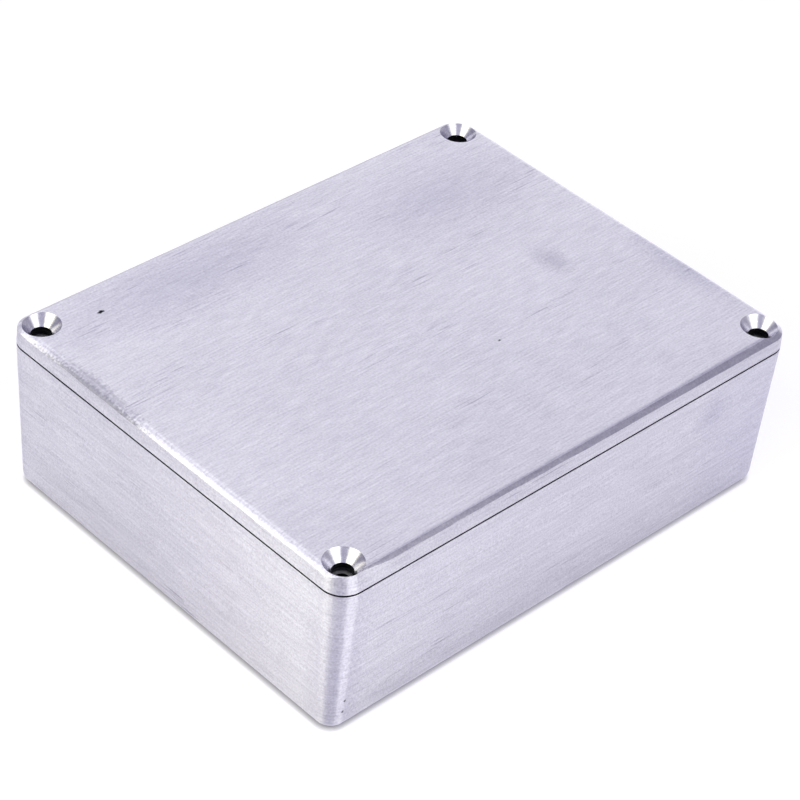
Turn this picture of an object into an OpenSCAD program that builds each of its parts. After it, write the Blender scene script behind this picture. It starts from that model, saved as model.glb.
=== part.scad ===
// Die cast aluminium box: a drafted tub with a screw post in each corner, and a lid
// that locates on a ridge inside the rim and takes four countersunk screws.
// X runs along the length, Y across the width and Z up. The origin is in the middle
// of the underside. All lengths are in millimetres and all angles in degrees.

/* [Box] */
// Length, over the rim
box_length = 119.5; // [80:0.5:200]
// Width, over the rim
box_width = 94; // [60:0.5:150]
// Height, with the lid on
box_height = 38; // [28:0.5:60]
// Radius of the upright corners, at the rim
corner_radius = 4.7; // [4:0.1:8]
// Wall thickness, at the rim
wall_thickness = 2; // [1.5:0.1:2.8]
// Floor thickness
floor_thickness = 2.2; // [1.5:0.1:4]
// Draft of the outer walls
outer_draft = 2; // [0.5:0.25:2.5]
// Draft of the inner walls, which lets the core out of the casting
inner_draft = 2.5; // [0.5:0.25:3]
// Radius of the outer edge round the underside
foot_radius = 2.5; // [0.5:0.1:3]
// Radius where the floor meets the inner walls
floor_fillet = 1.4; // [0.5:0.1:2]
// Radius of the upright inner corners, at the floor
inner_corner_radius = 1.8; // [1:0.1:3]

/* [Rim] */
// Depth to which the outside of the rim is relieved, so that the lid seats inside it
rim_relief = 0.6; // [0.3:0.05:0.8]
// Height of the relief, seen outside as the line between box and lid
rim_gap = 0.2; // [0.1:0.05:0.4]

/* [Lid] */
// Height of the lid's outer edge
lid_height = 3.8; // [3:0.1:6]
// Thickness of the lid inside its border
lid_thickness = 2.3; // [1.5:0.1:2.8]
// Draft of the lid's outer edge
lid_draft = 3; // [0.5:0.25:5]
// Width of the bevel round the top, seen from above
bevel_width = 1.3; // [0.4:0.1:2]
// Height of the bevel, seen from the side
bevel_height = 0.75; // [0.2:0.05:1.5]
// Height of the locating ridge below the rim
ridge_height = 1.8; // [1:0.1:3]
// Thickness of the locating ridge
ridge_thickness = 1.6; // [1:0.1:2.5]
// Clearance between the ridge and the walls and posts of the box
ridge_clearance = 0.25; // [0.15:0.05:0.5]

/* [Cover screws] */
// Diameter of the clearance holes in the lid
screw_hole = 4.1; // [3.5:0.1:5]
// Diameter of the countersinks, at the top of the lid
sink_diameter = 7.8; // [6.5:0.1:9]
// Included angle of the countersinks
sink_angle = 82; // [82:1:100]
// Least flat left between a countersink and the side of the box
sink_land = 0.8; // [0.8:0.1:2]
// Diameter of the tapped holes in the posts
tapped_hole = 2.85; // [2.5:0.05:3.5]
// Depth of the tapped holes, without the drill's point
tapped_depth = 15; // [8:0.5:18]
// Diameter of the posts
post_diameter = 8; // [7:0.1:10]
// How far the posts stop below the rim, so that the lid seats on the rim alone
post_drop = 0.3; // [0.1:0.05:0.6]

/* [Hidden] */
$fn = 96;

// Cuts run this far past the faces that they open
past = 1;
// Point angle of the tapping drill
drill_angle = 118;
cast_grey = [0.80, 0.79, 0.86];

rim_z = box_height - lid_height;
corner_x = box_length / 2 - corner_radius;
corner_y = box_width / 2 - corner_radius;

// The screws share the corners' centres, unless their countersinks need more room
screw_inset = max(corner_radius, sink_diameter / 2 + sink_land);
screw_x = box_length / 2 - screw_inset;
screw_y = box_width / 2 - screw_inset;

// The cavity's corners open from the floor up to the rim
cavity_depth = rim_z - floor_thickness;
cavity_radius = inner_corner_radius + cavity_depth * tan(inner_draft);
cavity_x = box_length / 2 - wall_thickness - cavity_radius;
cavity_y = box_width / 2 - wall_thickness - cavity_radius;

// The ridge bends round each post, clear of where the post's flanks meet the walls
post_radius = post_diameter / 2;
ridge_bend = norm([screw_inset - wall_thickness, post_radius]) + ridge_clearance;

// Which way corner i lies from the middle, counted anticlockwise from +X +Y
function corner_side(i) = [(i == 0 || i == 3) ? 1 : -1, i < 2 ? 1 : -1];

function on_circle(centre, radius, angle) = centre + radius * [cos(angle), sin(angle)];

// A slice of a disc, up to a right angle and a little more
module disc_slice(centre, radius, from, to) {
    outside = 1.5 * radius;
    intersection() {
        translate(centre) circle(radius);
        polygon([
            centre,
            on_circle(centre, outside, from),
            on_circle(centre, outside, (from + to) / 2),
            on_circle(centre, outside, to)
        ]);
    }
}

// Half section of a drafted block: its wall leans in towards a rounded bottom edge.
// x is counted outwards from the corners' centres.
module drafted_section(top_radius, depth, draft, edge_radius) {
    bottom_radius = top_radius - depth * tan(draft);
    edge = min(edge_radius, 0.85 * bottom_radius);
    centre = [bottom_radius + edge * tan(draft) - edge / cos(draft), edge];
    polygon([
        [0, 0],
        [centre.x, 0],
        centre,
        on_circle(centre, edge, -draft),
        [top_radius, depth],
        [0, depth]
    ]);
    disc_slice(centre, edge, -90, -draft);
}

// Carries a half section round a rectangle of corner centres, and fills the middle
module swept_block(half_x, half_y, depth) {
    rotate([90, 0, 90]) linear_extrude(2 * half_x, center = true) {
        for (side = [0, 1]) mirror([side, 0]) translate([half_y, 0]) children();
        translate([-half_y, 0]) square([2 * half_y, depth]);
    }
    for (side = [0, 1]) {
        mirror([side, 0, 0]) translate([half_x, 0, 0])
            rotate([90, 0, 0]) linear_extrude(2 * half_y, center = true) children();
    }
    for (i = [0:3]) {
        translate([corner_side(i).x * half_x, corner_side(i).y * half_y, 0])
            rotate_extrude(angle = 90, start = 90 * i) children();
    }
}

// One of a shape at each screw, turned so that +X and +Y face the corner's walls
module at_screws() {
    for (i = [0:3]) {
        translate([corner_side(i).x * screw_x, corner_side(i).y * screw_y, 0])
            rotate([0, 0, 90 * i]) children();
    }
}

module box_outside() {
    swept_block(corner_x, corner_y, rim_z) {
        difference() {
            drafted_section(corner_radius, rim_z, outer_draft, foot_radius);
            translate([corner_radius - rim_relief, rim_z - rim_gap])
                square([rim_relief + past, rim_gap + past]);
        }
    }
}

module cavity() {
    open_radius = cavity_radius + past * tan(inner_draft);
    translate([0, 0, floor_thickness]) {
        swept_block(cavity_x, cavity_y, cavity_depth + past)
            drafted_section(open_radius, cavity_depth + past, inner_draft, floor_fillet);
    }
}

// A post is round where it faces the cavity and runs straight into both walls
module post() {
    linear_extrude(rim_z - post_drop) {
        disc_slice([0, 0], post_radius, 180, 270);
        polygon([
            [0, 0],
            [-post_radius, 0],
            [-post_radius, screw_inset],
            [screw_inset, screw_inset],
            [screw_inset, -post_radius],
            [0, -post_radius]
        ]);
    }
}

module tapped_bore() {
    radius = tapped_hole / 2;
    point = radius / tan(drill_angle / 2);
    translate([0, 0, rim_z - post_drop - tapped_depth]) {
        cylinder(h = tapped_depth + past, r = radius);
        translate([0, 0, -point]) cylinder(h = point, r1 = 0, r2 = radius);
    }
}

module box_body() {
    color(cast_grey) difference() {
        box_outside();
        difference() {
            cavity();
            at_screws() post();
        }
        at_screws() tapped_bore();
    }
}

module lid_section() {
    slope = tan(lid_draft);
    shoulder = lid_height - bevel_height;
    polygon([
        [0, 0],
        [corner_radius, 0],
        [corner_radius - shoulder * slope, shoulder],
        [corner_radius - lid_height * slope - bevel_width, lid_height],
        [0, lid_height]
    ]);
}

// Outline inside the walls and round the posts, drawn in by a distance
module ridge_outline(inset) {
    half_x = box_length / 2 - wall_thickness - ridge_clearance - inset;
    half_y = box_width / 2 - wall_thickness - ridge_clearance - inset;
    difference() {
        square([2 * half_x, 2 * half_y], center = true);
        at_screws() {
            circle(ridge_bend + inset);
            square(screw_inset);
        }
    }
}

module ridge() {
    translate([0, 0, -ridge_height]) linear_extrude(ridge_height) difference() {
        ridge_outline(0);
        ridge_outline(ridge_thickness);
    }
}

module screw_bore() {
    sink_depth = (sink_diameter - screw_hole) / 2 / tan(sink_angle / 2);
    translate([0, 0, -past]) cylinder(h = lid_height + 2 * past, d = screw_hole);
    translate([0, 0, lid_height - sink_depth]) {
        cylinder(
            h = sink_depth + past,
            d1 = screw_hole,
            d2 = sink_diameter + 2 * past * tan(sink_angle / 2)
        );
    }
}

module lid() {
    color(cast_grey) translate([0, 0, rim_z]) {
        difference() {
            swept_block(corner_x, corner_y, lid_height) lid_section();
            translate([0, 0, -past]) linear_extrude(lid_height - lid_thickness + past)
                ridge_outline(ridge_thickness);
            at_screws() screw_bore();
        }
        ridge();
    }
}

box_body();
lid();
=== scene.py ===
# %% [markdown]
# # A die cast aluminium box
# The object is a plain project box: a drafted tub and a flat lid, both die cast in
# aluminium and then sanded on a belt. The sizes come from the CAD frame, which is
# loaded first and never changed. Each casting is then made again with a finer mesh,
# small worn edges and a finish that follows the way the belt ran.

# %% Load the frame
import math

import bpy
from mathutils import Matrix, Vector


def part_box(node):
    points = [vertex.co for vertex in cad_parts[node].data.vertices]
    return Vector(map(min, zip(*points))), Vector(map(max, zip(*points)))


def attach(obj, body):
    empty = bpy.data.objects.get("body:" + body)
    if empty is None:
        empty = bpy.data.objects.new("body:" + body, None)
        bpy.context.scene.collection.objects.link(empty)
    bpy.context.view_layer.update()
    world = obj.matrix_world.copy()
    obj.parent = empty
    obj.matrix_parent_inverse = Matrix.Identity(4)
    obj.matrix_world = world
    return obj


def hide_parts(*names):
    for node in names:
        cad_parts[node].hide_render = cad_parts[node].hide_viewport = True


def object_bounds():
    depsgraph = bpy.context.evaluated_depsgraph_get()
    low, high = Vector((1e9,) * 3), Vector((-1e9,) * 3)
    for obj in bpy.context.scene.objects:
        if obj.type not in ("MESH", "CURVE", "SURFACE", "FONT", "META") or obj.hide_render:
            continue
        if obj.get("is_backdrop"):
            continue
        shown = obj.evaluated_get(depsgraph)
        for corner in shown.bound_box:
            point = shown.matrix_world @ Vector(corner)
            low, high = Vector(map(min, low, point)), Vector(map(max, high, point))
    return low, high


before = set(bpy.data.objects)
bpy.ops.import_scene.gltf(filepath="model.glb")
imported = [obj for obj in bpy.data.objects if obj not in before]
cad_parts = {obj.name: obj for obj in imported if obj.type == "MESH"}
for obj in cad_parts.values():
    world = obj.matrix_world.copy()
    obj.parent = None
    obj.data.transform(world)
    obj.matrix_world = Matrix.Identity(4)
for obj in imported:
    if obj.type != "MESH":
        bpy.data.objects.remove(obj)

MM = 0.001
cad_low, cad_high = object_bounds()
LENGTH, WIDTH, HEIGHT = cad_high - cad_low
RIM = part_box("box_body")[1].z
print(
    "box",
    [round(size / MM, 2) for size in (LENGTH, WIDTH, HEIGHT)],
    "rim at",
    round(RIM / MM, 2),
)

# %% [markdown]
# ## Camera
# A small product is usually shot from about half a metre away with a long lens, so that
# its parallel edges stay nearly parallel. The camera is turned in three steps that are
# easy to change one by one: round the box, down towards it, and a little about its own
# axis.

# %% Camera
CAMERA_AT = Vector((-0.3138, -0.2932, 0.3618))
AZIMUTH, ELEVATION, ROLL = (math.radians(angle) for angle in (-46.97, 38.55, 5.84))

camera = bpy.data.objects.new("camera", bpy.data.cameras.new("camera"))
camera.data.sensor_width = 36
camera.data.lens = 126.26
camera.data.clip_start, camera.data.clip_end = 0.01, 20
camera.matrix_world = (
    Matrix.Translation(CAMERA_AT)
    @ Matrix.Rotation(AZIMUTH, 4, "Z")
    @ Matrix.Rotation(math.radians(90) - ELEVATION, 4, "X")
    @ Matrix.Rotation(ROLL, 4, "Z")
)
bpy.context.scene.collection.objects.link(camera)
bpy.context.scene.camera = camera
bpy.context.scene.view_settings.view_transform = "Standard"
print("camera", round(CAMERA_AT.length, 3), "m from the box")

# %% [markdown]
# ## Node trees
# Materials and Geometry Nodes are both trees of nodes, so one helper serves both. It adds
# a node, sets the node's own settings, and then fills each input with a value or links
# it to another node's output. A list of outputs is linked one after the other, for an
# input that takes several.

# %% A helper for node trees
def add(tree, kind, inputs=None, **settings):
    """Add a node with its settings and links, and return it."""
    node = tree.nodes.new(kind)
    for name, value in settings.items():
        setattr(node, name, value)
    for key, value in (inputs or {}).items():
        sources = value if isinstance(value, list) else [value]
        if isinstance(sources[0], bpy.types.NodeSocket):
            for source in sources:
                tree.links.new(source, node.inputs[key])
        else:
            node.inputs[key].default_value = value
    return node


def linear(hex_colour):
    """An sRGB hex colour as the linear colour that the shaders work in."""
    parts = [int(hex_colour[i : i + 2], 16) / 255 for i in (1, 3, 5)]
    return [p / 12.92 if p <= 0.04045 else ((p + 0.055) / 1.055) ** 2.4 for p in parts] + [1]


# %% [markdown]
# ## Room and table
# Bare metal shows its surroundings, so the surroundings are built with as much care as
# the metal. The room is white wherever the camera or a reflection sees it, and gives
# less as light, so that the soft boxes have room to model the form. The table glows a
# little, which hides its horizon, and also takes light, which keeps the shadow of the
# box. Reflections see a darker shadow than the camera does, because the walls of the
# box stand right in it, and a pool of light in front of the long side. Laminate is plain
# and matt, so the table has no gloss of its own.

# %% White room
world = bpy.data.worlds.new("white room")
world.use_nodes = True
bpy.context.scene.world = world
room = world.node_tree
rays = add(room, "ShaderNodeLightPath").outputs
seen = add(
    room,
    "ShaderNodeMath",
    {0: rays["Is Camera Ray"], 1: rays["Is Glossy Ray"]},
    operation="MAXIMUM",
)
seen = add(
    room,
    "ShaderNodeMath",
    {0: seen.outputs[0], 1: rays["Is Transmission Ray"]},
    operation="MAXIMUM",
)
level = add(room, "ShaderNodeMapRange", {"Value": seen.outputs[0], "To Min": 0.45, "To Max": 1.0})
room.nodes["Background"].inputs["Color"].default_value = linear("#ffffff")
room.links.new(level.outputs[0], room.nodes["Background"].inputs["Strength"])
print("room", len(room.nodes), "nodes")

# %% White table
table_top = bpy.data.materials.new("white laminate table")
table_top.use_nodes = True
surface = table_top.node_tree
surface.nodes.clear()
by_camera = add(surface, "ShaderNodeLightPath").outputs["Is Camera Ray"]
shade = add(
    surface,
    "ShaderNodeMix",
    {0: by_camera, 6: linear("#b5b3bc"), 7: linear("#adaabb")},
    data_type="RGBA",
)
shade = add(surface, "ShaderNodeBsdfDiffuse", {"Color": shade.outputs[2]})
# The pool of light lies in front of the long side, under the right soft box. Scaled by
# four, its radius is a quarter of a metre
where = add(surface, "ShaderNodeTexCoord").outputs["Object"]
pool = add(
    surface,
    "ShaderNodeMapping",
    {"Vector": where, "Location": (-0.04, 0.28, 0), "Scale": (4, 4, 4)},
)
pool = add(surface, "ShaderNodeTexGradient", {"Vector": pool.outputs[0]}, gradient_type="SPHERICAL")
pool = add(
    surface,
    "ShaderNodeMapRange",
    {"Value": pool.outputs["Fac"], "To Min": 0.93, "To Max": 1.38},
)
# For the camera, this glow and the light that falls on the table make just white
glow = add(surface, "ShaderNodeMix", {0: by_camera, 2: pool.outputs[0], 3: 0.71})
# Close to the box the glow fades as a real white surface would, because the box hides
# part of the room from it. Reflections see that out to 120 mm, the camera to 1.2 mm
hidden = add(surface, "ShaderNodeMix", {0: by_camera, 2: 0.12, 3: 0.0012})
hidden = add(surface, "ShaderNodeAmbientOcclusion", {"Distance": hidden.outputs[0]}, samples=8)
hidden = add(surface, "ShaderNodeMath", {0: hidden.outputs["AO"], 1: 1.4}, operation="POWER")
glow = add(
    surface,
    "ShaderNodeMath",
    {0: glow.outputs[0], 1: hidden.outputs[0]},
    operation="MULTIPLY",
)
glow = add(surface, "ShaderNodeEmission", {"Color": linear("#ffffff"), "Strength": glow.outputs[0]})
lit = add(surface, "ShaderNodeAddShader", {0: shade.outputs[0], 1: glow.outputs[0]})
# From below the table is clear, so that the underside of the box can be looked at
clear = add(surface, "ShaderNodeBsdfTransparent")
facing = add(surface, "ShaderNodeNewGeometry")
one_sided = add(
    surface,
    "ShaderNodeMixShader",
    {0: facing.outputs["Backfacing"], 1: lit.outputs[0], 2: clear.outputs[0]},
)
add(surface, "ShaderNodeOutputMaterial", {"Surface": one_sided.outputs[0]})
print("table material", len(surface.nodes), "nodes")

# %% The table's top
# A hatch a little smaller than the flat of the foot lets the underside be seen from below
REACH = 4.0
HATCH_INSET = 3.9 * MM
corners = [(-1, -1), (1, -1), (1, 1), (-1, 1)]
points = [(x * REACH, y * REACH, 0) for x, y in corners]
points += [
    (x * (LENGTH / 2 - HATCH_INSET), y * (WIDTH / 2 - HATCH_INSET), 0) for x, y in corners
]
mesh = bpy.data.meshes.new("table")
mesh.from_pydata(points, [], [(i, (i + 1) % 4, (i + 1) % 4 + 4, i + 4) for i in range(4)])
mesh.materials.append(table_top)
table = bpy.data.objects.new("table", mesh)
bpy.context.scene.collection.objects.link(table)
table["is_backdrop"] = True
print("table", 2 * REACH, "m wide")

# %% [markdown]
# ## Soft boxes and cards
# Two soft boxes stand left and right of the camera. In a white room bare metal would
# vanish, so grey cards hang where its faces and bevels look: one under the camera gives
# the upright corner its grey band, and those at the sides keep the walls and the long
# bevel darker than the top. Two small bright panels do the opposite, and draw a white
# line along the short side's edge. Only reflections see the cards and panels, so they
# cast no shadow and light nothing.

# %% Soft boxes
LAMP_AWAY, CARD_AWAY = 0.9, 0.8


def place_facing(name, data, azimuth, elevation, distance):
    """Put something at a direction from the box, turned to face it."""
    a, e = math.radians(azimuth), math.radians(elevation)
    away = Vector((math.sin(a) * math.cos(e), -math.cos(a) * math.cos(e), math.sin(e)))
    thing = bpy.data.objects.new(name, data)
    turned = away.to_track_quat("Z", "Y").to_matrix().to_4x4()
    thing.matrix_world = Matrix.Translation(away * distance) @ turned
    bpy.context.scene.collection.objects.link(thing)
    return thing


def soft_box(name, azimuth, elevation, size, radiance, colour):
    """A soft box of this size in metres, as bright all over as its radiance."""
    lamp = bpy.data.lights.new(name, "AREA")
    lamp.shape = "RECTANGLE"
    lamp.size, lamp.size_y = size
    lamp.energy = radiance * math.pi * size[0] * size[1]
    lamp.color = linear(colour)[:3]
    return place_facing(name, lamp, azimuth, elevation, LAMP_AWAY)


soft_box("left soft box", -93, 35, (1.0, 0.85), 1.75, "#fdfeca")
soft_box("right soft box", 0, 35, (0.7, 0.85), 1.55, "#fdfeec")


# %% Cards and panels
def card(name, azimuth, elevation, size, tone, strength=1.0):
    """A flat card that only reflections see."""
    paint = bpy.data.materials.new(name)
    paint.use_nodes = True
    paint.node_tree.nodes.clear()
    glow = add(paint.node_tree, "ShaderNodeEmission", {"Color": linear(tone), "Strength": strength})
    add(paint.node_tree, "ShaderNodeOutputMaterial", {"Surface": glow.outputs[0]})
    x, y = size[0] / 2, size[1] / 2
    sheet = bpy.data.meshes.new(name)
    sheet.from_pydata([(-x, -y, 0), (x, -y, 0), (x, y, 0), (-x, y, 0)], [], [(0, 1, 2, 3)])
    sheet.materials.append(paint)
    hung = place_facing(name, sheet, azimuth, elevation, CARD_AWAY)
    for ray in ("camera", "diffuse", "shadow", "transmission"):
        setattr(hung, "visible_" + ray, False)
    hung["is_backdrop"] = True


card("right grey card", 68, 47, (0.7, 0.6), "#a9a6b8")
card("low card on the right", 60, 12, (1.0, 0.46), "#c3c1cc")
card("left grey card", -152, 20, (0.84, 0.5), "#9d9aac")
card("card over the camera", -47, 47, (0.54, 0.5), "#bfbdd4")
card("card under the camera", -50, 14, (0.96, 0.42), "#646276")
card("white panel for the edge", 168, 56, (0.26, 0.26), "#ffffff", 1.35)
card("white panel for the bevel", -146, 47, (0.24, 0.26), "#ffffff", 1.8)
print("cards hung")

# %% [markdown]
# ## Sanded aluminium
# Both castings come out of the die dull and a little pitted, and a sanding belt brings
# them up. The lid went over the belt lengthwise, and the walls were held level against
# it, so the marks run along X on the top and level round the sides. A belt leaves fine
# lines from the grit, broader streaks where it pressed harder, and a soft cloudiness
# where it skipped. Each is noise in Object coordinates, stretched along the belt, so the
# recipe is a short list of sizes. The real grit lines are less than 0.1 mm wide, which is
# too fine to show, so they are drawn as coarse as 0.4 mm. The metal also shines across its
# lines: anisotropy stretches each reflection at right angles to the belt, along a tangent
# that is the same all over a face. Last come soft or ragged ovals with a place and a size
# of their own: marks of use and of casting, faint darker zones, and painted shade on walls.

# %% The recipe for belt marks
def new_metal(name, roughness):
    """A bare metal: its material, tree and shader."""
    metal = bpy.data.materials.new(name)
    metal.use_nodes = True
    shader = metal.node_tree.nodes["Principled BSDF"]
    shader.inputs["Metallic"].default_value = 1
    shader.inputs["Roughness"].default_value = roughness
    return metal, metal.node_tree, shader


def noise_of_size(tree, size, detail):
    """Noise with cells of this size along X, Y and Z, in millimetres."""
    where = add(tree, "ShaderNodeTexCoord").outputs["Object"]
    cells = add(
        tree,
        "ShaderNodeMapping",
        {"Vector": where, "Scale": [1 / (side * MM) for side in size]},
    )
    return add(
        tree, "ShaderNodeTexNoise", {"Vector": cells.outputs[0], "Scale": 1.0, "Detail": detail}
    ).outputs["Fac"]


def toned(tree, colour, layers):
    """Add each layer of noise, (size, detail, strength), to a colour."""
    for size, detail, strength in layers:
        colour = add(
            tree,
            "ShaderNodeMix",
            {0: strength, 6: colour, 7: noise_of_size(tree, size, detail)},
            data_type="RGBA",
            blend_type="LINEAR_LIGHT",
        ).outputs[2]
    return colour


def marks_and_painted_shade(tree, colour, marks):
    """Tint ragged ovals, each (centre, half size, tone, share that fades), in millimetres."""
    where = add(tree, "ShaderNodeTexCoord").outputs["Object"]
    ragged = add(
        tree,
        "ShaderNodeTexNoise",
        {"Vector": where, "Scale": 1 / (0.6 * MM), "Detail": 1.0},
    )
    for centre, half, tone, soft in marks:
        oval = add(
            tree,
            "ShaderNodeMapping",
            {
                "Vector": where,
                "Location": [-c / h - 0.5 for c, h in zip(centre, half)],
                "Scale": [1 / (h * MM) for h in half],
            },
        )
        # Noise from 0 to 1 pushes the outline about by up to half the oval's size
        oval = add(
            tree,
            "ShaderNodeVectorMath",
            {0: oval.outputs[0], 1: ragged.outputs["Color"]},
            operation="ADD",
        )
        fade = add(
            tree,
            "ShaderNodeTexGradient",
            {"Vector": oval.outputs[0]},
            gradient_type="SPHERICAL",
        )
        fade = add(tree, "ShaderNodeMapRange", {"Value": fade.outputs["Fac"], "From Max": soft})
        colour = add(
            tree,
            "ShaderNodeMix",
            {0: fade.outputs[0], 6: colour, 7: linear(tone)},
            data_type="RGBA",
            blend_type="MULTIPLY",
        ).outputs[2]
    return colour


def belt_sanded(name, colour, layers, marks, scratches, grit, across, roughness, anisotropy):
    """Aluminium off the belt. The grit and the scratches also stand as relief."""
    metal, tree, shader = new_metal(name, roughness)
    colour = marks_and_painted_shade(tree, toned(tree, linear(colour), layers), marks)
    # Scratches are the peaks of a fine noise, and a coarse noise gathers them in patches
    fine, patches = (noise_of_size(tree, size, 1) for size in scratches)
    patches = add(tree, "ShaderNodeMapRange", {"Value": patches, "From Min": 0.54, "From Max": 0.7})
    fine = add(
        tree,
        "ShaderNodeMapRange",
        {"Value": fine, "From Min": 0.58, "From Max": 0.72, "To Max": patches.outputs[0]},
    )
    colour = add(
        tree,
        "ShaderNodeMix",
        {0: fine.outputs[0], 6: colour, 7: linear("#d2d0da")},
        data_type="RGBA",
        blend_type="MULTIPLY",
    )
    tree.links.new(colour.outputs[2], shader.inputs["Base Color"])
    height = noise_of_size(tree, grit, 2)
    height = add(
        tree,
        "ShaderNodeMath",
        {0: fine.outputs[0], 1: -0.5, 2: height},
        operation="MULTIPLY_ADD",
    )
    relief = add(
        tree,
        "ShaderNodeBump",
        {"Strength": 1.0, "Distance": 0.045 * MM, "Height": height.outputs[0]},
    )
    tree.links.new(relief.outputs[0], shader.inputs["Normal"])
    shader.inputs["Anisotropic"].default_value = anisotropy
    tangent = add(tree, "ShaderNodeCombineXYZ", dict(enumerate(across)))
    tree.links.new(tangent.outputs[0], shader.inputs["Tangent"])
    return metal


# %% The two sanded finishes
brushed_top = belt_sanded(
    "belt sanded die cast aluminium, lid",
    "#e2e0ef",
    layers=[
        ((5, 0.4, 0.4), 1, 0.16),
        ((0.5, 0.4, 0.4), 1, 0.16),
        ((20, 1.4, 1.4), 1, 0.04),
        ((30, 16, 16), 2, 0.06),
    ],
    marks=[
        # Wide, faint darker zones, with a small darker spot between them
        ((-25, 37, 38), (40, 12, 12), "#e6e5ec", 1),
        ((34, 28, 38), (26, 14, 12), "#ebeaf0", 1),
        ((38, -2, 38), (4, 6, 6), "#dcdbe2", 1),
        ((60, -20, 38), (8, 18, 12), "#e0dfe8", 1),
        # A dull strip along the short side, dressed by hand
        ((-59.2, 21, 38), (2.6, 17, 3), "#d6d6da", 0.5),
        ((-59.6, 21, 37.2), (1.5, 18, 0.9), "#c9c9ce", 0.3),
        # A casting pore and a fleck of dirt
        ((-43.7, 38.6, 38), (1.0, 0.5, 1.5), "#202026", 0.5),
        ((11, -14.3, 38), (0.45, 0.35, 1.5), "#55555e", 0.7),
    ],
    scratches=((9, 0.4, 0.4), (26, 8, 8)),
    grit=(0.9, 0.45, 0.45),
    across=(0.0, 1.0, 0.0),
    roughness=0.32,
    anisotropy=0.9,
)
brushed_sides = belt_sanded(
    "belt sanded die cast aluminium, walls",
    "#d6d4e3",
    layers=[
        ((7, 7, 0.35), 1, 0.12),
        ((0.35, 0.35, 0.35), 1, 0.18),
        ((20, 20, 1.6), 1, 0.02),
        ((30, 30, 12), 2, 0.05),
    ],
    marks=[
        # A smudge under the lid
        ((38.6, -47, 27), (6, 8, 6), "#e9e8ef", 1),
        # Painted shade: wide, faint darkening at the far end, the near corner and the short side,
        # which leaves them a little greyer than the soft boxes alone would
        ((56, -47, 14), (24, 12, 34), "#efeef5", 1),
        ((-57.5, -44.8, 14), (7, 7, 40), "#e4e3eb", 1),
        ((-58.5, -6, 12), (8, 50, 40), "#f5f4f9", 1),
        # Two casting pores by the foot
        ((-55.4, -45.8, 7.3), (0.4, 1.5, 0.4), "#55555e", 0.7),
        ((-55.6, -45.6, 4.6), (0.4, 1.5, 0.4), "#40404a", 0.7),
    ],
    scratches=((9, 9, 0.4), (24, 24, 6)),
    grit=(0.6, 0.6, 0.5),
    across=(0.0, 0.0, 1.0),
    roughness=0.42,
    anisotropy=1.0,
)
print(brushed_top.name, "and", brushed_sides.name)


# %% [markdown]
# ## Edges, holes and bare casting
# The bevel along each side was dressed by hand, so it is duller than the faces beside it
# and its lines follow the edge. The countersinks were cut by a turning tool, which leaves
# them smooth and mirror-like with faint rings and a little chatter. The holes are painted
# near-black, as painted shade, because little light finds its way down them. Inside, nobody
# sanded anything: the metal is matt and grainy, as it left the die.

# %% Hand dressed bevel
sanded_bevel = belt_sanded(
    "hand sanded aluminium, bevel",
    "#bcb9c9",
    layers=[((4, 4, 0.3), 1, 0.1), ((0.4, 0.4, 0.4), 1, 0.14)],
    marks=[],
    scratches=((6, 6, 0.3), (15, 15, 5)),
    grit=(0.5, 0.5, 0.4),
    across=(0.0, 0.0, 1.0),
    roughness=0.38,
    anisotropy=0.5,
)
print(sanded_bevel.name)


# %% Machined and as cast
def plain(name, colour, roughness, layers, grain, depth):
    """Aluminium with layers of tone, and a grain of this size and depth in millimetres."""
    metal, tree, shader = new_metal(name, roughness)
    tree.links.new(toned(tree, linear(colour), layers), shader.inputs["Base Color"])
    relief = add(
        tree,
        "ShaderNodeBump",
        {"Strength": 1.0, "Distance": depth * MM, "Height": noise_of_size(tree, grain, 2)},
    )
    tree.links.new(relief.outputs[0], shader.inputs["Normal"])
    return metal


# Long cells in X and Y are rings round a hole, and tall cells are chatter down its slope
machined = plain(
    "countersunk aluminium, screw seats",
    "#cfcdda",
    0.24,
    layers=[((8, 8, 0.4), 1, 0.07), ((0.4, 0.4, 4), 1, 0.09)],
    grain=(8, 8, 0.4),
    depth=0.012,
)
# Painted shade: the holes and the step round the rim get this near-black colour, as little light
# reaches into them
dark_painted_shade = plain(
    "aluminium painted dark as shade, holes and joint",
    "#2e2e36",
    0.5,
    layers=[((4, 4, 0.5), 1, 0.05)],
    grain=(4, 4, 0.5),
    depth=0.03,
)
# Grey drifts of a few millimetres show where the metal ran, and fine grain the die's skin
as_cast = plain(
    "die cast aluminium, inside",
    "#b9b7c2",
    0.55,
    layers=[((0.6, 0.6, 0.6), 2, 0.12), ((9, 9, 9), 3, 0.08)],
    grain=(0.6, 0.6, 0.6),
    depth=0.05,
)
FINISHES = [brushed_sides, brushed_top, sanded_bevel, machined, dark_painted_shade, as_cast]
print(len(FINISHES), "finishes")

# %% [markdown]
# ## Sections
# A die cast wall leans in a few degrees so that it leaves the die. Both castings follow
# one rule: a section is carried round a rectangle with round corners, and the middle is
# filled. A section is a line of points, each an inset from the outside and a height. Its
# corners are eased a little, because a belt never leaves a knife edge.

# %% Drawing a section
def eased(points, steps):
    """A line through (inset, height, radius) points, with each corner turned by its radius."""
    line = []
    for i, (x, y, radius) in enumerate(points):
        here = Vector((x, y))
        if radius == 0:
            line.append(here)
            continue
        back = (Vector(points[i - 1][:2]) - here).normalized()
        on = (Vector(points[i + 1][:2]) - here).normalized()
        half = back.angle(on) / 2
        centre = here + (back + on).normalized() * radius / math.sin(half)
        start = here + back * radius / math.tan(half) - centre
        end = here + on * radius / math.tan(half) - centre
        for step in range(steps + 1):
            line.append(centre + radius * start.normalized().slerp(end.normalized(), step / steps))
    return line


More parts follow.
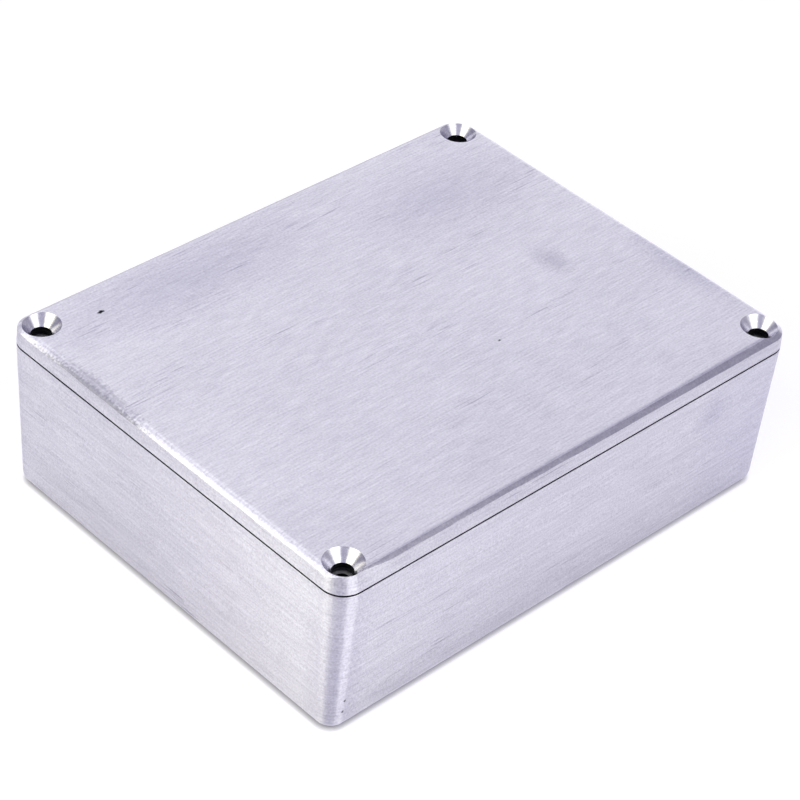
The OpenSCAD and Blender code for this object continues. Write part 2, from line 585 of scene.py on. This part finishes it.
def section(name, points):
    """A section as an object: an open line of edges, in the plane that the sweep reads."""
    line = bpy.data.meshes.new(name)
    line.from_pydata(
        [(-p.x, -p.y, 0) for p in points],
        [(i, i + 1) for i in range(len(points) - 1)],
        [],
    )
    drawn = bpy.data.objects.new(name, line)
    bpy.context.scene.collection.objects.link(drawn)
    print(name, len(points), "points")
    return drawn


# %% [markdown]
# ## The sweep
# Curve to Mesh carries the section round the outline in one node, and leaves the top and
# the bottom open. The two open loops are found as the edges that have only one face,
# filled, and joined on. The long straights are cut into short pieces, so that a face
# never mixes the shine of a flat wall with that of a round corner.

# %% The sweep as a group of nodes
def new_tree(name, inputs):
    """An empty Geometry Nodes tree with named inputs, and its input and output sockets."""
    tree = bpy.data.node_groups.new(name, "GeometryNodeTree")
    for label, kind in inputs.items():
        tree.interface.new_socket(name=label, in_out="INPUT", socket_type="NodeSocket" + kind)
    tree.interface.new_socket(name="Geometry", in_out="OUTPUT", socket_type="NodeSocketGeometry")
    return tree, tree.nodes.new("NodeGroupInput").outputs, tree.nodes.new("NodeGroupOutput").inputs


CORNER_STEPS = 23
sweep, given, made = new_tree(
    "carry section round",
    {
        "Section": "Geometry",
        "Length": "Float",
        "Width": "Float",
        "Corner": "Float",
        "Side cuts": "Int",
    },
)
outline = add(
    sweep,
    "GeometryNodeCurvePrimitiveQuadrilateral",
    {"Width": given["Length"], "Height": given["Width"]},
)
outline = add(
    sweep,
    "GeometryNodeFilletCurve",
    {"Curve": outline.outputs[0], "Count": CORNER_STEPS, "Radius": given["Corner"]},
    mode="POLY",
)
# Every corner has as many points, and the straight after it starts at the last one
number = add(sweep, "GeometryNodeInputIndex")
number = add(
    sweep, "ShaderNodeMath", {0: number.outputs[0], 1: float(CORNER_STEPS + 1)}, operation="MODULO"
)
on_side = add(
    sweep,
    "FunctionNodeCompare",
    {0: number.outputs[0], 1: CORNER_STEPS - 0.5},
    operation="GREATER_THAN",
)
side_cuts = add(
    sweep, "ShaderNodeMath", {0: on_side.outputs[0], 1: given["Side cuts"]}, operation="MULTIPLY"
)
outline = add(
    sweep, "GeometryNodeSubdivideCurve", {"Curve": outline.outputs[0], "Cuts": side_cuts.outputs[0]}
)
profile = add(sweep, "GeometryNodeMeshToCurve", {"Mesh": given["Section"]})
wall = add(
    sweep,
    "GeometryNodeCurveToMesh",
    {"Curve": outline.outputs[0], "Profile Curve": profile.outputs[0]},
)
wall = add(sweep, "GeometryNodeFlipFaces", {"Mesh": wall.outputs[0]})

# %% Filling the top and the bottom
faces_beside = add(sweep, "GeometryNodeInputMeshEdgeNeighbors")
is_open = add(
    sweep,
    "FunctionNodeCompare",
    {2: faces_beside.outputs[0], 3: 1},
    data_type="INT",
    operation="EQUAL",
)
place = add(sweep, "GeometryNodeInputPosition")
height = add(sweep, "ShaderNodeSeparateXYZ", {0: place.outputs[0]}).outputs["Z"]
reach = add(sweep, "GeometryNodeAttributeStatistic", {0: wall.outputs[0], 2: height})
middle = add(sweep, "ShaderNodeMix", {0: 0.5, 2: reach.outputs["Min"], 3: reach.outputs["Max"]})
is_high = add(
    sweep,
    "FunctionNodeCompare",
    {0: height, 1: middle.outputs[0]},
    operation="GREATER_THAN",
)
parts = [wall.outputs[0]]
for end, operation in (("Max", "AND"), ("Min", "NIMPLY")):
    loop = add(
        sweep,
        "FunctionNodeBooleanMath",
        {0: is_open.outputs[0], 1: is_high.outputs[0]},
        operation=operation,
    )
    loop = add(
        sweep,
        "GeometryNodeMeshToCurve",
        {"Mesh": wall.outputs[0], "Selection": loop.outputs[0]},
    )
    cap = add(sweep, "GeometryNodeFillCurve", {"Curve": loop.outputs[0]}, mode="NGONS")
    level = add(sweep, "ShaderNodeCombineXYZ", {"Z": reach.outputs[end]})
    cap = add(
        sweep,
        "GeometryNodeTransform",
        {"Geometry": cap.outputs[0], "Translation": level.outputs[0]},
    )
    if end == "Min":
        cap = add(sweep, "GeometryNodeFlipFaces", {"Mesh": cap.outputs[0]})
    parts.append(cap.outputs[0])
closed = add(sweep, "GeometryNodeJoinGeometry", {0: parts})
closed = add(
    sweep,
    "GeometryNodeMergeByDistance",
    {"Geometry": closed.outputs[0], "Distance": 0.001 * MM},
)
sweep.links.new(closed.outputs[0], made[0])
print("sweep", len(sweep.nodes), "nodes")

# %% [markdown]
# ## Screw places
# The box has a post, a tapped hole, a clearance hole and a countersink at each corner.
# One group puts any of them at all four: the points of a grid of two by two carry the
# copies, and each copy is turned so that its +X and +Y face the corner's walls.

# %% One at each screw
each, given, made = new_tree(
    "one at each screw", {"Piece": "Geometry", "Screw X": "Float", "Screw Y": "Float"}
)
span_x = add(each, "ShaderNodeMath", {0: given["Screw X"], 1: 2.0}, operation="MULTIPLY")
span_y = add(each, "ShaderNodeMath", {0: given["Screw Y"], 1: 2.0}, operation="MULTIPLY")
places = add(
    each,
    "GeometryNodeMeshGrid",
    {"Size X": span_x.outputs[0], "Size Y": span_y.outputs[0], "Vertices X": 2, "Vertices Y": 2},
)
place = add(each, "GeometryNodeInputPosition")
corner = add(each, "ShaderNodeVectorMath", {0: place.outputs[0]}, operation="SIGN")
corner = add(each, "ShaderNodeSeparateXYZ", {0: corner.outputs[0]})
turn = add(
    each,
    "ShaderNodeMath",
    {0: corner.outputs["Y"], 1: corner.outputs["X"]},
    operation="ARCTAN2",
)
turn = add(each, "ShaderNodeMath", {0: turn.outputs[0], 1: math.radians(45)}, operation="SUBTRACT")
turn = add(each, "ShaderNodeCombineXYZ", {"Z": turn.outputs[0]})
copies = add(
    each,
    "GeometryNodeInstanceOnPoints",
    {"Points": places.outputs["Mesh"], "Instance": given["Piece"], "Rotation": turn.outputs[0]},
)
copies = add(each, "GeometryNodeRealizeInstances", {0: copies.outputs[0]})
each.links.new(copies.outputs[0], made[0])
print("screw places", len(each.nodes), "nodes")

# %% [markdown]
# ## Cuts and finishes
# Cutting one mesh with another can lose track of materials, so each part first gets a
# number on its faces for its finish. The number outlasts the cuts, and the last nodes
# of a tree turn it into materials.

# %% Marking and finishing
def marked(tree, solid, finish, selection=True):
    """Number the selected faces with a finish."""
    return add(
        tree,
        "GeometryNodeStoreNamedAttribute",
        {
            "Geometry": solid,
            "Name": "finish",
            "Value": FINISHES.index(finish),
            "Selection": selection,
        },
        data_type="INT",
        domain="FACE",
    ).outputs[0]


def finished(tree, solid, output):
    """Give each numbered face its material, and end the tree."""
    solid = add(tree, "GeometryNodeRealizeInstances", {0: solid}).outputs[0]
    number = add(
        tree,
        "GeometryNodeInputNamedAttribute",
        {"Name": "finish"},
        data_type="INT",
    ).outputs[0]
    for i, finish in enumerate(FINISHES):
        here = add(
            tree,
            "FunctionNodeCompare",
            {2: number, 3: i},
            data_type="INT",
            operation="EQUAL",
        )
        solid = add(
            tree,
            "GeometryNodeSetMaterial",
            {"Geometry": solid, "Selection": here.outputs[0], "Material": finish},
        ).outputs[0]
    tree.links.new(solid, output)
    print(tree.name, len(tree.nodes), "nodes")


def cast(name, line, tree, sizes):
    """Run a tree on a section, and keep the result as a plain mesh."""
    modifier = line.modifiers.new("cast", "NODES")
    modifier.node_group = tree
    sockets = {
        item.name: item.identifier for item in tree.interface.items_tree if item.in_out == "INPUT"
    }
    for label, value in sizes.items():
        modifier[sockets[label]] = value
    casting = bpy.data.meshes.new_from_object(
        line.evaluated_get(bpy.context.evaluated_depsgraph_get()),
    )
    line.modifiers.remove(modifier)
    casting.name = name
    # Only the finishes that show are kept in the list of materials
    used = sorted({face.material_index for face in casting.polygons})
    finishes = [casting.materials[i] for i in used]
    order = [used.index(face.material_index) for face in casting.polygons]
    casting.materials.clear()
    for finish in finishes:
        casting.materials.append(finish)
    casting.polygons.foreach_set("material_index", order)
    casting.shade_smooth()
    casting.set_sharp_from_angle(angle=math.radians(26))
    piece = bpy.data.objects.new(name, casting)
    bpy.context.scene.collection.objects.link(piece)
    print(name, len(casting.vertices), "points,", len(finishes), "finishes")
    return piece


# %% [markdown]
# ## The box
# The tub is the outside less the hollow, and the hollow is a smaller sweep less the four
# posts. So the posts are left standing, round where they face the hollow and straight
# into both walls, as a die makes them. Then the tapping drill goes in.

# %% The box as a tree
tub, given, made = new_tree(
    "box casting",
    {
        "Section": "Geometry",
        "Length": "Float",
        "Width": "Float",
        "Corner": "Float",
        "Side cuts": "Int",
        "Joint height": "Float",
        "Hollow section": "Object",
        "Hollow length": "Float",
        "Hollow width": "Float",
        "Hollow corner": "Float",
        "Screw X": "Float",
        "Screw Y": "Float",
        "Post radius": "Float",
        "Post height": "Float",
        "Post reach": "Float",
        "Tapped radius": "Float",
        "Tapped depth": "Float",
    },
)
outside = add(
    tub,
    "GeometryNodeGroup",
    {label: given[label] for label in ("Section", "Length", "Width", "Corner", "Side cuts")},
    node_tree=sweep,
)
outside = marked(tub, outside.outputs[0], brushed_sides)
way = add(tub, "GeometryNodeInputNormal")
way = add(tub, "ShaderNodeSeparateXYZ", {0: way.outputs[0]})
underside = add(tub, "FunctionNodeCompare", {0: way.outputs["Z"], 1: -0.98}, operation="LESS_THAN")
outside = marked(tub, outside, brushed_top, underside.outputs[0])
# The step round the rim gets the holes' near-black colour: painted shade in the joint line
place = add(tub, "GeometryNodeInputPosition")
height = add(tub, "ShaderNodeSeparateXYZ", {0: place.outputs[0]})
in_joint = add(
    tub,
    "FunctionNodeCompare",
    {0: height.outputs["Z"], 1: given["Joint height"]},
    operation="GREATER_THAN",
)
outside = marked(tub, outside, dark_painted_shade, in_joint.outputs[0])
line = add(tub, "GeometryNodeObjectInfo", {"Object": given["Hollow section"]})
hollow = add(
    tub,
    "GeometryNodeGroup",
    {
        "Section": line.outputs["Geometry"],
        "Length": given["Hollow length"],
        "Width": given["Hollow width"],
        "Corner": given["Hollow corner"],
    },
    node_tree=sweep,
)

# %% Posts and tapped holes
# A primitive is centred on its own middle, so twice the height reaches down and up alike
both_ways = add(
    tub,
    "ShaderNodeMath",
    {0: given["Post height"], 1: 2.0},
    operation="MULTIPLY",
).outputs[0]
post = [
    add(
        tub,
        "GeometryNodeMeshCylinder",
        {"Vertices": 96, "Radius": given["Post radius"], "Depth": both_ways},
    ).outputs["Mesh"]
]
for long_side, short_side in (("X", "Y"), ("Y", "X")):
    # From the post's middle to the walls one way, and by its radius to the side
    size = add(
        tub,
        "ShaderNodeCombineXYZ",
        {"Z": both_ways, short_side: given["Post reach"], long_side: given["Post reach"]},
    )
    arm = add(tub, "GeometryNodeMeshCube", {"Size": size.outputs[0]})
    middle = add(tub, "ShaderNodeMath", {0: given["Post reach"], 1: 0.5}, operation="MULTIPLY")
    aside = add(
        tub,
        "ShaderNodeMath",
        {0: middle.outputs[0], 1: given["Post radius"]},
        operation="SUBTRACT",
    )
    shift = add(
        tub,
        "ShaderNodeCombineXYZ",
        {long_side: middle.outputs[0], short_side: aside.outputs[0]},
    )
    post.append(
        add(
            tub,
            "GeometryNodeTransform",
            {"Geometry": arm.outputs[0], "Translation": shift.outputs[0]},
        ).outputs[0]
    )
post = add(tub, "GeometryNodeMeshBoolean", {"Mesh 2": post}, operation="UNION", solver="MANIFOLD")
screws = {"Screw X": given["Screw X"], "Screw Y": given["Screw Y"]}
posts = add(tub, "GeometryNodeGroup", {"Piece": post.outputs[0], **screws}, node_tree=each)
hollow = add(
    tub,
    "GeometryNodeMeshBoolean",
    {"Mesh 1": hollow.outputs[0], "Mesh 2": posts.outputs[0]},
    operation="DIFFERENCE",
    solver="MANIFOLD",
)
hollow = marked(tub, hollow.outputs[0], as_cast)
depth = add(tub, "ShaderNodeMath", {0: given["Tapped depth"], 1: 2.0}, operation="MULTIPLY")
bore = add(
    tub,
    "GeometryNodeMeshCylinder",
    {"Vertices": 64, "Radius": given["Tapped radius"], "Depth": depth.outputs[0]},
)
post_top = add(tub, "ShaderNodeCombineXYZ", {"Z": given["Post height"]})
bore = add(
    tub,
    "GeometryNodeTransform",
    {"Geometry": bore.outputs["Mesh"], "Translation": post_top.outputs[0]},
)
bores = add(tub, "GeometryNodeGroup", {"Piece": bore.outputs[0], **screws}, node_tree=each)
# The tapped holes are painted near-black, as shade
bores = marked(tub, bores.outputs[0], dark_painted_shade)
box_solid = add(
    tub,
    "GeometryNodeMeshBoolean",
    {"Mesh 1": outside, "Mesh 2": [hollow, bores]},
    operation="DIFFERENCE",
    solver="MANIFOLD",
)
finished(tub, box_solid.outputs[0], made[0])

# %% Cast the box
CORNER = 4.7 * MM
WALL = 2.0 * MM
FLOOR = 2.2 * MM
FOOT = 2.5 * MM
OUTER_DRAFT = math.tan(math.radians(2.0))
INNER_DRAFT = math.tan(math.radians(2.5))
POST = 4.0 * MM
# The line between box and lid is a shallow step round the rim. The real one is 0.2 mm
# tall, which is too fine to show, so it is drawn a little taller
RELIEF, GAP = 0.6 * MM, 0.34 * MM
# The belt rounds a sharp edge a little
WORN = 0.12 * MM
# A section stops just short of the corner's middle, where the sweep would close to a point
SHORT = 0.1 * MM
SCREW_X, SCREW_Y = LENGTH / 2 - CORNER, WIDTH / 2 - CORNER
# Cuts run this far past the faces that they open
PAST = 1 * MM

# The points near the two bends keep the shading of the flats from running into them
box_line = section(
    "box section",
    eased(
        [
            (CORNER - SHORT, 0, 0),
            (RIM * OUTER_DRAFT + FOOT + 0.3 * MM, 0, 0),
            (RIM * OUTER_DRAFT, 0, FOOT),
            ((RIM - FOOT - 1.5 * MM) * OUTER_DRAFT, FOOT + 1.5 * MM, 0),
            ((GAP + 1 * MM) * OUTER_DRAFT, RIM - GAP - 1 * MM, 0),
            (GAP * OUTER_DRAFT, RIM - GAP, WORN),
            (RELIEF, RIM - GAP, 0),
            (RELIEF, RIM, 0),
            (CORNER - SHORT, RIM, 0),
        ],
        steps=10,
    ),
)
deep = RIM - FLOOR
hollow_corner = 1.8 * MM + deep * INNER_DRAFT
hollow_line = section(
    "hollow section",
    eased(
        [
            (hollow_corner - SHORT / 2, FLOOR, 0),
            (deep * INNER_DRAFT, FLOOR, 1.4 * MM),
            (-PAST * INNER_DRAFT, RIM + PAST, 0),
            (hollow_corner - SHORT / 2, RIM + PAST, 0),
        ],
        steps=8,
    ),
)
box = cast(
    "box_casting",
    box_line,
    tub,
    {
        "Length": LENGTH,
        "Width": WIDTH,
        "Corner": CORNER,
        "Side cuts": 30,
        "Joint height": RIM - 1.1 * GAP,
        "Hollow section": hollow_line,
        "Hollow length": LENGTH - 2 * WALL,
        "Hollow width": WIDTH - 2 * WALL,
        "Hollow corner": hollow_corner,
        "Screw X": SCREW_X,
        "Screw Y": SCREW_Y,
        "Post radius": POST,
        "Post height": RIM - 0.3 * MM,
        "Post reach": CORNER,
        "Tapped radius": 1.425 * MM,
        "Tapped depth": 15 * MM,
    },
)

# %% [markdown]
# ## The lid
# The lid is a plate whose top edge was taken off by hand against the belt, so the bevel
# is not even: it deepens towards one end and wanders a little. Under the plate a ridge
# follows the walls and bends round each post. The ridge is an outer slab less an inner
# one, and each slab is a block less four round bites.

# %% The lid as a tree
cover, given, made = new_tree(
    "lid casting",
    {
        "Section": "Geometry",
        "Length": "Float",
        "Width": "Float",
        "Corner": "Float",
        "Side cuts": "Int",
        "Rim height": "Float",
        "Shoulder": "Float",
        "Bevel width": "Float",
        "Bevel height": "Float",
        "Runs out": "Float",
        "Narrow": "Float",
        "Run out starts": "Float",
        "Run out ends": "Float",
        "Deepens": "Float",
        "Deepening starts": "Float",
        "Deepening ends": "Float",
        "Wander": "Float",
        "Wanders per metre": "Float",
        "Seed": "Float",
        "Screw X": "Float",
        "Screw Y": "Float",
        "Ridge size": "Vector",
        "Ridge middle": "Vector",
        "Ridge bend": "Float",
        "Pocket size": "Vector",
        "Pocket middle": "Vector",
        "Pocket bend": "Float",
        "Hole radius": "Float",
        "Sink radius": "Float",
        "Sink depth": "Float",
        "Top height": "Float",
    },
)
plate = add(
    cover,
    "GeometryNodeGroup",
    {label: given[label] for label in ("Section", "Length", "Width", "Corner", "Side cuts")},
    node_tree=sweep,
)
place = add(cover, "GeometryNodeInputPosition")
along = add(cover, "ShaderNodeSeparateXYZ", {0: place.outputs[0]}).outputs
print("lid casting", len(cover.nodes), "nodes so far")

# %% How uneven the bevel is
# On the front side the bevel runs out near the first corner and deepens towards the far
# one. Elsewhere it only wanders. All of it is one number, the share of its width lost.
outward = add(cover, "GeometryNodeInputNormal")
outward = add(
    cover, "ShaderNodeVectorMath", {0: outward.outputs[0], 1: (1.0, 1.0, 0.0)}, operation="MULTIPLY"
)
outward = add(cover, "ShaderNodeVectorMath", {0: outward.outputs[0]}, operation="NORMALIZE")
front = add(
    cover,
    "ShaderNodeVectorMath",
    {0: outward.outputs[0], 1: (0.0, -1.0, 0.0)},
    operation="DOT_PRODUCT",
)
is_front = add(cover, "FunctionNodeCompare", {0: along["Y"], 1: 0.0}, operation="LESS_THAN")
front = add(
    cover,
    "ShaderNodeMath",
    {0: front.outputs["Value"], 1: is_front.outputs[0]},
    operation="MULTIPLY",
)
runs_out = add(
    cover,
    "ShaderNodeMapRange",
    {
        "Value": along["X"],
        "From Min": given["Run out starts"],
        "From Max": given["Run out ends"],
        "To Min": given["Runs out"],
        "To Max": given["Narrow"],
    },
)
deepens = add(
    cover,
    "ShaderNodeMapRange",
    {
        "Value": along["X"],
        "From Min": given["Deepening starts"],
        "From Max": given["Deepening ends"],
        "To Min": 0.0,
        "To Max": given["Deepens"],
    },
)
uneven = add(
    cover,
    "ShaderNodeMath",
    {0: runs_out.outputs[0], 1: deepens.outputs[0]},
    operation="SUBTRACT",
)
wander = add(
    cover,
    "ShaderNodeTexNoise",
    {
        "Vector": place.outputs[0],
        "W": given["Seed"],
        "Scale": given["Wanders per metre"],
        "Detail": 2.0,
    },
    noise_dimensions="4D",
)
wander = add(
    cover,
    "ShaderNodeMapRange",
    {"Value": wander.outputs["Fac"], "From Min": 0.25, "From Max": 0.75, "To Min": -1.0},
)
wander = add(
    cover, "ShaderNodeMath", {0: wander.outputs[0], 1: given["Wander"]}, operation="MULTIPLY"
)
share = add(
    cover,
    "ShaderNodeMath",
    {0: uneven.outputs[0], 1: front.outputs[0], 2: wander.outputs[0]},
    operation="MULTIPLY_ADD",
)
print("lid casting", len(cover.nodes), "nodes so far")

# %% Moving the edges of the bevel
# Where width is lost, the lower edge slides in and up along the slope. Where the bevel
# deepens, the lower edge goes down the wall and the top edge goes in. The rest of the
# slope follows in proportion to its height.
lid_top = add(
    cover,
    "ShaderNodeMath",
    {0: given["Shoulder"], 1: given["Bevel height"]},
    operation="ADD",
)
follow = add(
    cover,
    "ShaderNodeMapRange",
    {
        "Value": along["Z"],
        "From Min": given["Shoulder"],
        "From Max": lid_top.outputs[0],
        "To Min": 1.0,
        "To Max": 0.0,
    },
)
low = add(
    cover,
    "ShaderNodeMath",
    {0: share.outputs[0], 1: follow.outputs[0]},
    operation="MULTIPLY",
)
high = add(cover, "ShaderNodeMath", {0: low.outputs[0], 1: share.outputs[0]}, operation="SUBTRACT")
inward = add(cover, "ShaderNodeMath", {0: low.outputs[0], 1: high.outputs[0]}, operation="MAXIMUM")
inward = add(
    cover,
    "ShaderNodeMath",
    {0: inward.outputs[0], 1: given["Bevel width"]},
    operation="MULTIPLY",
)
inward = add(cover, "ShaderNodeMath", {0: inward.outputs[0], 1: -1.0}, operation="MULTIPLY")
inward = add(
    cover,
    "ShaderNodeVectorMath",
    {0: outward.outputs[0], "Scale": inward.outputs[0]},
    operation="SCALE",
)
upward = add(
    cover,
    "ShaderNodeMath",
    {0: low.outputs[0], 1: given["Bevel height"]},
    operation="MULTIPLY",
)
upward = add(cover, "ShaderNodeCombineXYZ", {"Z": upward.outputs[0]})
slide = add(
    cover,
    "ShaderNodeVectorMath",
    {0: inward.outputs[0], 1: upward.outputs[0]},
    operation="ADD",
)
# The shoulder is eased, so its first points lie a little below it
below = add(cover, "ShaderNodeMath", {0: given["Shoulder"], 1: 0.2 * MM}, operation="SUBTRACT")
slope = add(
    cover,
    "FunctionNodeCompare",
    {0: along["Z"], 1: below.outputs[0]},
    operation="GREATER_THAN",
)
plate = add(
    cover,
    "GeometryNodeSetPosition",
    {"Geometry": plate.outputs[0], "Selection": slope.outputs[0], "Offset": slide.outputs[0]},
)
level = add(cover, "ShaderNodeCombineXYZ", {"Z": given["Rim height"]})
plate = add(
    cover, "GeometryNodeTransform", {"Geometry": plate.outputs[0], "Translation": level.outputs[0]}
)
print("lid casting", len(cover.nodes), "nodes so far")

# %% Finishes by the way a face points
way = add(cover, "GeometryNodeInputNormal")
way = add(cover, "ShaderNodeSeparateXYZ", {0: way.outputs[0]})
plate = marked(cover, plate.outputs[0], brushed_sides)
# A face that points up by half or more is bevel, and one that nearly points up is top
for least, finish in ((0.5, sanded_bevel), (0.93, brushed_top)):
    faces_up = add(
        cover,
        "FunctionNodeCompare",
        {0: way.outputs["Z"], 1: least},
        operation="GREATER_THAN",
    )
    plate = marked(cover, plate, finish, faces_up.outputs[0])
# The bevels at the two ends lie across the belt, and come off it as bright as the top
slope = add(cover, "FunctionNodeCompare", {0: way.outputs["Z"], 1: 0.5}, operation="GREATER_THAN")
sideways = add(cover, "ShaderNodeMath", {0: way.outputs["X"]}, operation="ABSOLUTE")
at_end = add(
    cover,
    "FunctionNodeCompare",
    {0: sideways.outputs[0], 1: 0.3},
    operation="GREATER_THAN",
)
at_end = add(
    cover,
    "FunctionNodeBooleanMath",
    {0: slope.outputs[0], 1: at_end.outputs[0]},
    operation="AND",
)
plate = marked(cover, plate, brushed_top, at_end.outputs[0])
print("lid casting", len(cover.nodes), "nodes so far")

# %% The ridge
# Each round bite is far longer than the slab is thick, so it passes right through
screws = {"Screw X": given["Screw X"], "Screw Y": given["Screw Y"]}
slabs = {}
for label in ("Ridge", "Pocket"):
    slab = add(cover, "GeometryNodeMeshCube", {"Size": given[label + " size"]})
    slab = add(
        cover,
        "GeometryNodeTransform",
        {"Geometry": slab.outputs["Mesh"], "Translation": given[label + " middle"]},
    )
    bite = add(
        cover,
        "GeometryNodeMeshCylinder",
        {"Vertices": 96, "Radius": given[label + " bend"], "Depth": 0.2},
    )
    bites = add(
        cover,
        "GeometryNodeGroup",
        {"Piece": bite.outputs["Mesh"], **screws},
        node_tree=each,
    )
    slab = add(
        cover,
        "GeometryNodeMeshBoolean",
        {"Mesh 1": slab.outputs[0], "Mesh 2": bites.outputs[0]},
        operation="DIFFERENCE",
        solver="MANIFOLD",
    )
    slabs[label] = marked(cover, slab.outputs[0], as_cast)
lid_solid = add(
    cover,
    "GeometryNodeMeshBoolean",
    {"Mesh 2": [plate, slabs["Ridge"]]},
    operation="UNION",
    solver="MANIFOLD",
)
print("lid casting", len(cover.nodes), "nodes so far")

# %% The holes and the countersinks
# The countersink is a whole cone on its point, twice as tall as the part that cuts
wide = add(cover, "ShaderNodeMath", {0: given["Sink radius"], 1: 2.0}, operation="MULTIPLY")
tall = add(cover, "ShaderNodeMath", {0: given["Sink depth"], 1: 2.0}, operation="MULTIPLY")
point = add(
    cover,
    "ShaderNodeMath",
    {0: given["Top height"], 1: given["Sink depth"]},
    operation="SUBTRACT",
)
point = add(cover, "ShaderNodeCombineXYZ", {"Z": point.outputs[0]})
seat = add(
    cover,
    "GeometryNodeMeshCone",
    {"Vertices": 96, "Radius Bottom": 0.0, "Radius Top": wide.outputs[0], "Depth": tall.outputs[0]},
)
seat = add(
    cover,
    "GeometryNodeTransform",
    {"Geometry": seat.outputs["Mesh"], "Translation": point.outputs[0]},
)
seats = add(cover, "GeometryNodeGroup", {"Piece": seat.outputs[0], **screws}, node_tree=each)
# A hole has many short rows of faces, so that it shades evenly all the way down
hole = add(
    cover,
    "GeometryNodeMeshCylinder",
    {"Vertices": 96, "Side Segments": 160, "Radius": given["Hole radius"], "Depth": 0.1},
)
holes = add(cover, "GeometryNodeGroup", {"Piece": hole.outputs["Mesh"], **screws}, node_tree=each)
seats = marked(cover, seats.outputs[0], machined)
# The clearance holes are painted near-black, as shade
holes = marked(cover, holes.outputs[0], dark_painted_shade)
lid_solid = add(
    cover,
    "GeometryNodeMeshBoolean",
    {"Mesh 1": lid_solid.outputs[0], "Mesh 2": [slabs["Pocket"], seats, holes]},
    operation="DIFFERENCE",
    solver="MANIFOLD",
)
finished(cover, lid_solid.outputs[0], made[0])

# %% Cast the lid
LID = HEIGHT - RIM
LID_DRAFT = math.tan(math.radians(3.0))
BEVEL_WIDTH, BEVEL_HEIGHT = 1.15 * MM, 0.75 * MM
RIDGE, RIDGE_WALL, CLEARANCE = 1.8 * MM, 1.6 * MM, 0.25 * MM
PLATE = 2.3 * MM
POCKET_TOP = HEIGHT - PLATE
SINK, SINK_HALF_ANGLE = 3.9 * MM, math.radians(41)
bend = math.hypot(CORNER - WALL, POST) + CLEARANCE
ridge_x, ridge_y = (size / 2 - WALL - CLEARANCE for size in (LENGTH, WIDTH))
pocket_x, pocket_y = ridge_x - RIDGE_WALL, ridge_y - RIDGE_WALL

# The belt leaves the top edge of the bevel much rounder than the others
lid_line = section(
    "lid section",
    eased(
        [
            (CORNER - SHORT, 0, 0),
            (0, 0, WORN),
            ((LID - BEVEL_HEIGHT) * LID_DRAFT, LID - BEVEL_HEIGHT, WORN),
            (LID * LID_DRAFT + BEVEL_WIDTH, LID, 2.0 * MM),
            (2.4 * MM, LID, 0),
            (CORNER - 1.5 * MM, LID, 0),
        ],
        steps=6,
    ),
)
lid = cast(
    "lid_casting",
    lid_line,
    cover,
    {
        "Length": LENGTH,
        "Width": WIDTH,
        "Corner": CORNER,
        "Side cuts": 60,
        "Rim height": RIM,
        "Shoulder": LID - BEVEL_HEIGHT,
        "Bevel width": BEVEL_WIDTH,
        "Bevel height": BEVEL_HEIGHT,
        "Runs out": 0.92,
        "Narrow": 0.2,
        "Run out starts": -57 * MM,
        "Run out ends": -49 * MM,
        "Deepens": 0.45,
        "Deepening starts": -25 * MM,
        "Deepening ends": 50 * MM,
        "Wander": 0.1,
        "Wanders per metre": 1 / (9 * MM),
        "Seed": 4.0,
        "Screw X": SCREW_X,
        "Screw Y": SCREW_Y,
        "Ridge size": (2 * ridge_x, 2 * ridge_y, RIDGE + PAST),
        "Ridge middle": (0, 0, RIM + (PAST - RIDGE) / 2),
        "Ridge bend": bend,
        "Pocket size": (2 * pocket_x, 2 * pocket_y, POCKET_TOP - RIM + RIDGE + PAST),
        "Pocket middle": (0, 0, (POCKET_TOP + RIM - RIDGE - PAST) / 2),
        "Pocket bend": bend + RIDGE_WALL,
        "Hole radius": 2.05 * MM,
        "Sink radius": SINK,
        "Sink depth": SINK / math.tan(SINK_HALF_ANGLE),
        "Top height": HEIGHT,
    },
)
for line in (box_line, hollow_line, lid_line):
    bpy.data.objects.remove(line)

# %% [markdown]
# ## Hand over to the frame
# Each casting stands for its CAD node, which is hidden, and rides on the one body. The
# box round both castings is printed, as the CAD box was at the start.

# %% Hand over
for piece, node, slot in ((box, "box_body", "cast_box"), (lid, "lid", "cast_lid")):
    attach(piece, "root")
    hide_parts(node)

low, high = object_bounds()
print("visual box", [round(side / MM, 2) for side in high - low], "mm")
